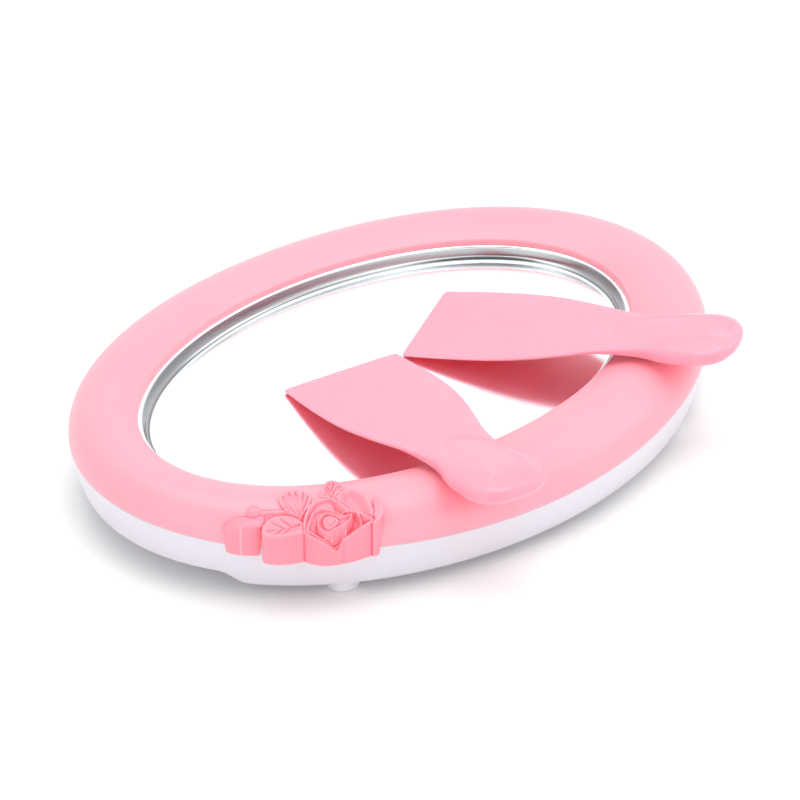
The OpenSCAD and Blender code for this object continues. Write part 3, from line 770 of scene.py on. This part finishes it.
def half_width(s):
    """Half the width of a scraper at a distance from its tip."""
    if s >= BULB_AT:
        return BULB_W / 2 * (1 - ((s - BULB_AT) / CAP_L) ** END_POWER) ** (1 / END_POWER)
    if s >= NECK_AT:
        return mix(NECK_W, BULB_W, ease((s - NECK_AT) / CAP_L)) / 2
    corner = CORNER_R * (1 - math.sqrt(1 - (1 - min(s / CORNER_R, 1)) ** 2))
    blade = mix(TIP_W, BLADE_W, ease(s / NARROW_FROM)) / 2 - corner
    narrowing = float(np.clip((s - NARROW_FROM) / (NECK_AT - NARROW_FROM), 0, 1)) ** NARROW_POWER
    return mix(blade, NECK_W / 2, (1 - math.cos(math.pi * narrowing)) / 2)


def scraper_top(s):
    """Rise of a scraper's upper side over its blade at a distance from its tip."""
    return BULB_RISE * ease((s - NECK_AT + RISE_LEAD) / (BULB_AT - NECK_AT + RISE_LEAD))


def handle_share(s):
    """0 on a scraper's blade and 1 at its bulb, at a distance from its tip."""
    return ease((s - HANDLE_FROM) / (BULB_AT - HANDLE_FROM))


def body_thickness(s):
    """Thickness of a scraper at a distance from its tip, before its end is rounded off."""
    return mix(mix(TIP_T, BLADE_T, s / NECK_AT), BULB_T, handle_share(s))


def scraper_section(s, count=176):
    """Evenly spaced points round a scraper's section, and how far up its face each one lies."""
    thick = body_thickness(s) / 2
    if s > BULB_AT:
        thick = BULB_T / 2 * math.sqrt(1 - ((s - BULB_AT) / CAP_L) ** END_POWER)
    rounding = mix(BLADE_ROUNDING, BULB_ROUNDING, handle_share(s))
    turn = np.linspace(0, 2 * math.pi, 1441)
    across = half_width(s) * signed_power(np.cos(turn), rounding)
    up = thick * signed_power(np.sin(turn), rounding)
    walked = np.concatenate([[0], np.cumsum(np.hypot(np.diff(across), np.diff(up)))])
    even = np.linspace(0, walked[-1], count + 1)[:-1]
    across, up = np.interp(even, walked, across), np.interp(even, walked, up)
    middle = scraper_top(s) - body_thickness(s) / 2
    return np.stack([np.full(count, s), across, middle + up], -1), np.clip(up / thick, 0, 1)


def handle_relief(s, across):
    """Rise of a handle's face: the sunk pad in its fine line, the dimples and their ridge."""
    depth, _ = measure(spline(np.array(PAD, float)), s, across)
    rise = -LINE_DEPTH * np.exp(-(depth / LINE_W) ** 2) - PAD_SUNK * ease(depth / PAD_SLOPE)
    for (dimple_s, dimple_a), reach, deep in DIMPLES:
        rise = rise - deep * np.exp(-((s - dimple_s) ** 2 + (across - dimple_a) ** 2) / reach ** 2)
    beside = (s - RIDGE_S + RIDGE_LEAN * (across - RIDGE_A)) / RIDGE_W
    lengthwise = (across - RIDGE_A) / RIDGE_L
    return rise + RIDGE_H * np.exp(-beside ** 2 - lengthwise ** 2)


def scraper_solid():
    """Points and faces of a scraper lying along X from its tip."""
    tip, blade, handle = [0, 0.3, 0.7, 1.2], np.linspace(2, 80, 48), np.arange(80.5, 138, 0.5)
    cap = BULB_AT + CAP_L * np.sin(np.radians(np.arange(62, 88, 2)))
    # the last ring lies just short of the end, where the section has no size left
    stops = np.concatenate([tip, blade, handle, cap, [SCRAPER_L - 0.01]])
    loops, facing = zip(*[scraper_section(float(s)) for s in stops])
    loops, facing = np.array(loops), np.array(facing)
    # the relief fades out towards the scraper's sides
    loops[..., 2] += handle_relief(loops[..., 0], loops[..., 1]) * ease(facing / RELIEF_FADE)
    return loft(list(loops))


def build_scrapers():
    """Both scrapers, each laid from its tip on the tray's floor up over the rim."""
    points, faces = scraper_solid()
    # node, body, place of the tip, heading and slope
    for node, body, tip, heading, slope in (
            ("front_spatula", "front_scraper", (-19.6, 12.3), -98.1, 9.85),
            ("rear_spatula", "rear_scraper", (32.3, 19.4), -59.8, 10.15)):
        tilt = (Matrix.Rotation(math.radians(heading), 3, "Z")
                @ Matrix.Rotation(-math.radians(slope), 3, "Y"))
        laid = points @ np.array(tilt).T + [*tip, FLOOR_Z + REST_GAP + TIP_T]
        scraper = piece(node + "_fine", laid, faces, scraper_pink, body, sharp=60)
        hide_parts(node)


# ---- Nodes that keep their solids --------------------------------------------

def finish_nodes():
    """Gives the nodes that are kept as they are their materials."""
    finishes = {
        "tray_gasket": seal_grey, "reservoir_shell": liner_white, "freezing_gel": gel_blue,
        "fill_plug": liner_white, "fill_plug_seal": seal_grey, "insulation_pad": foam_white,
        "foot_front_left": foot_white, "foot_front_right": foot_white,
        "foot_rear_left": foot_white, "foot_rear_right": foot_white,
        "case_screws": screw_steel, "ornament_clips": screw_steel}
    for name, finish in finishes.items():
        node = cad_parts[name]
        for slot in node.material_slots:
            slot.material = finish


# ---- Camera, floor and light -------------------------------------------------

# The photo's width, its focal length and the place of its optical axis in pixels, then the
# camera's heading and climb in degrees and how far it stands from its target
PHOTO_PX, FOCAL_PX = 800, 3595.13
AXIS_X_PX, AXIS_Y_PX = 394.71, 381.04
CAMERA_TURN, CAMERA_TILT = -39.547, 33.107
CAMERA_REACH_M, SENSOR_MM = 1.52513, 36


def build_camera():
    """The photo's camera, aimed at the middle of the seam."""
    turn, tilt = math.radians(CAMERA_TURN), math.radians(CAMERA_TILT)
    back = Vector((math.sin(turn) * math.cos(tilt), -math.cos(turn) * math.cos(tilt), math.sin(tilt)))
    target = Vector((0, MIDDLE_Y, SEAM_Z)) * MM
    data = bpy.data.cameras.new("camera")
    data.sensor_width = SENSOR_MM
    data.lens = SENSOR_MM * FOCAL_PX / PHOTO_PX
    data.shift_x = (PHOTO_PX / 2 - AXIS_X_PX) / PHOTO_PX
    data.shift_y = -(PHOTO_PX / 2 - AXIS_Y_PX) / PHOTO_PX
    data.clip_end = 20
    camera = bpy.data.objects.new("camera", data)
    camera.location = target + back * CAMERA_REACH_M
    camera.rotation_euler = back.to_track_quat("Z", "Y").to_euler()
    bpy.context.scene.collection.objects.link(camera)
    bpy.context.scene.camera = camera


def build_floor():
    """A wide white floor that belongs to the stage."""
    mat, tree, shader = material("floor_white")
    vary(tree, noise(tree, 3), shader.inputs["Base Color"], (0.92, 0.92, 0.92), (0.93, 0.93, 0.93))
    shader.inputs["Roughness"].default_value = 0.9
    mesh = bpy.data.meshes.new("floor")
    reach = 6.0
    mesh.from_pydata([(-reach, -reach, 0), (reach, -reach, 0), (reach, reach, 0), (-reach, reach, 0)],
                     [], [(0, 1, 2, 3)])
    mesh.materials.append(mat)
    floor = bpy.data.objects.new("floor", mesh)
    bpy.context.scene.collection.objects.link(floor)


def soft_light(name, place, aim, size, power):
    """A rectangular lamp turned to what it lights, with lengths in metres and power in watts."""
    data = bpy.data.lights.new(name, "AREA")
    data.shape = "RECTANGLE"
    data.size, data.size_y = size
    data.energy = power
    light = bpy.data.objects.new(name, data)
    light.location = place
    light.rotation_euler = (Vector(place) - Vector(aim)).to_track_quat("Z", "Y").to_euler()
    bpy.context.scene.collection.objects.link(light)


def lobe(tree, direction, aim, inner, outer):
    """1 near an aim direction and 0 away from it; inner and outer are cosines."""
    facing = tree.nodes.new("ShaderNodeVectorMath")
    facing.operation = "DOT_PRODUCT"
    facing.inputs[1].default_value = aim
    tree.links.new(direction, facing.inputs[0])
    spread = tree.nodes.new("ShaderNodeMapRange")
    spread.interpolation_type = "SMOOTHSTEP"
    spread.inputs["From Min"].default_value = outer
    spread.inputs["From Max"].default_value = inner
    tree.links.new(facing.outputs["Value"], spread.inputs["Value"])
    return spread.outputs["Result"]


# Brightness of the studio all round, what its near and far side add and what its gap takes
ALL_ROUND, NEAR_GAIN, FAR_GAIN, GAP_LOSS = 0.88, 1.25, 0.22, 0.9


def studio_level(tree):
    """Brightness of the studio by direction.

    It is bright all round, brighter low on the camera's side and a little on the far side,
    and dim in a gap high over the camera.
    """
    direction = tree.nodes.new("ShaderNodeTexCoord").outputs["Generated"]
    gap = lobe(tree, direction, (-0.45, -0.55, 0.70), 0.95, 0.80)
    far = lobe(tree, direction, (0.53, 0.65, 0.55), 0.85, 0.45)
    near = lobe(tree, direction, (-0.62, -0.76, 0.17), 0.9, 0.1)
    level = combine(tree, "ADD", ALL_ROUND, combine(tree, "MULTIPLY", near, NEAR_GAIN))
    level = combine(tree, "ADD", level, combine(tree, "MULTIPLY", far, FAR_GAIN))
    left = combine(tree, "SUBTRACT", 1, combine(tree, "MULTIPLY", gap, GAP_LOSS))
    return combine(tree, "MULTIPLY", level, left)


def build_light():
    """The studio as the object sees it, plain white for the camera, and two soft lamps."""
    world = bpy.data.worlds.new("studio")
    bpy.context.scene.world = world
    world.use_nodes = True
    tree = world.node_tree
    backdrop = tree.nodes["Background"]
    tree.links.new(studio_level(tree), backdrop.inputs["Color"])
    seen = tree.nodes.new("ShaderNodeBackground")
    seen.inputs["Color"].default_value = (1, 1, 1, 1)
    path = tree.nodes.new("ShaderNodeLightPath")
    choice = tree.nodes.new("ShaderNodeMixShader")
    tree.links.new(path.outputs["Is Camera Ray"], choice.inputs["Fac"])
    tree.links.new(backdrop.outputs["Background"], choice.inputs[1])
    tree.links.new(seen.outputs["Background"], choice.inputs[2])
    tree.links.new(choice.outputs["Shader"], tree.nodes["World Output"].inputs["Surface"])
    soft_light("overhead", (0.15, 0.15, 1.55), (0, 0, 0), (1.6, 1.2), 12)
    soft_light("side", (1.3, -0.7, 1.1), (0, 0, 0.03), (0.8, 0.8), 4)


def main():
    bpy.context.scene.view_settings.view_transform = "Standard"
    build_camera()
    build_floor()
    build_light()
    build_rim()
    build_tray()
    build_shell()
    build_rose()
    build_scrapers()
    finish_nodes()


main()
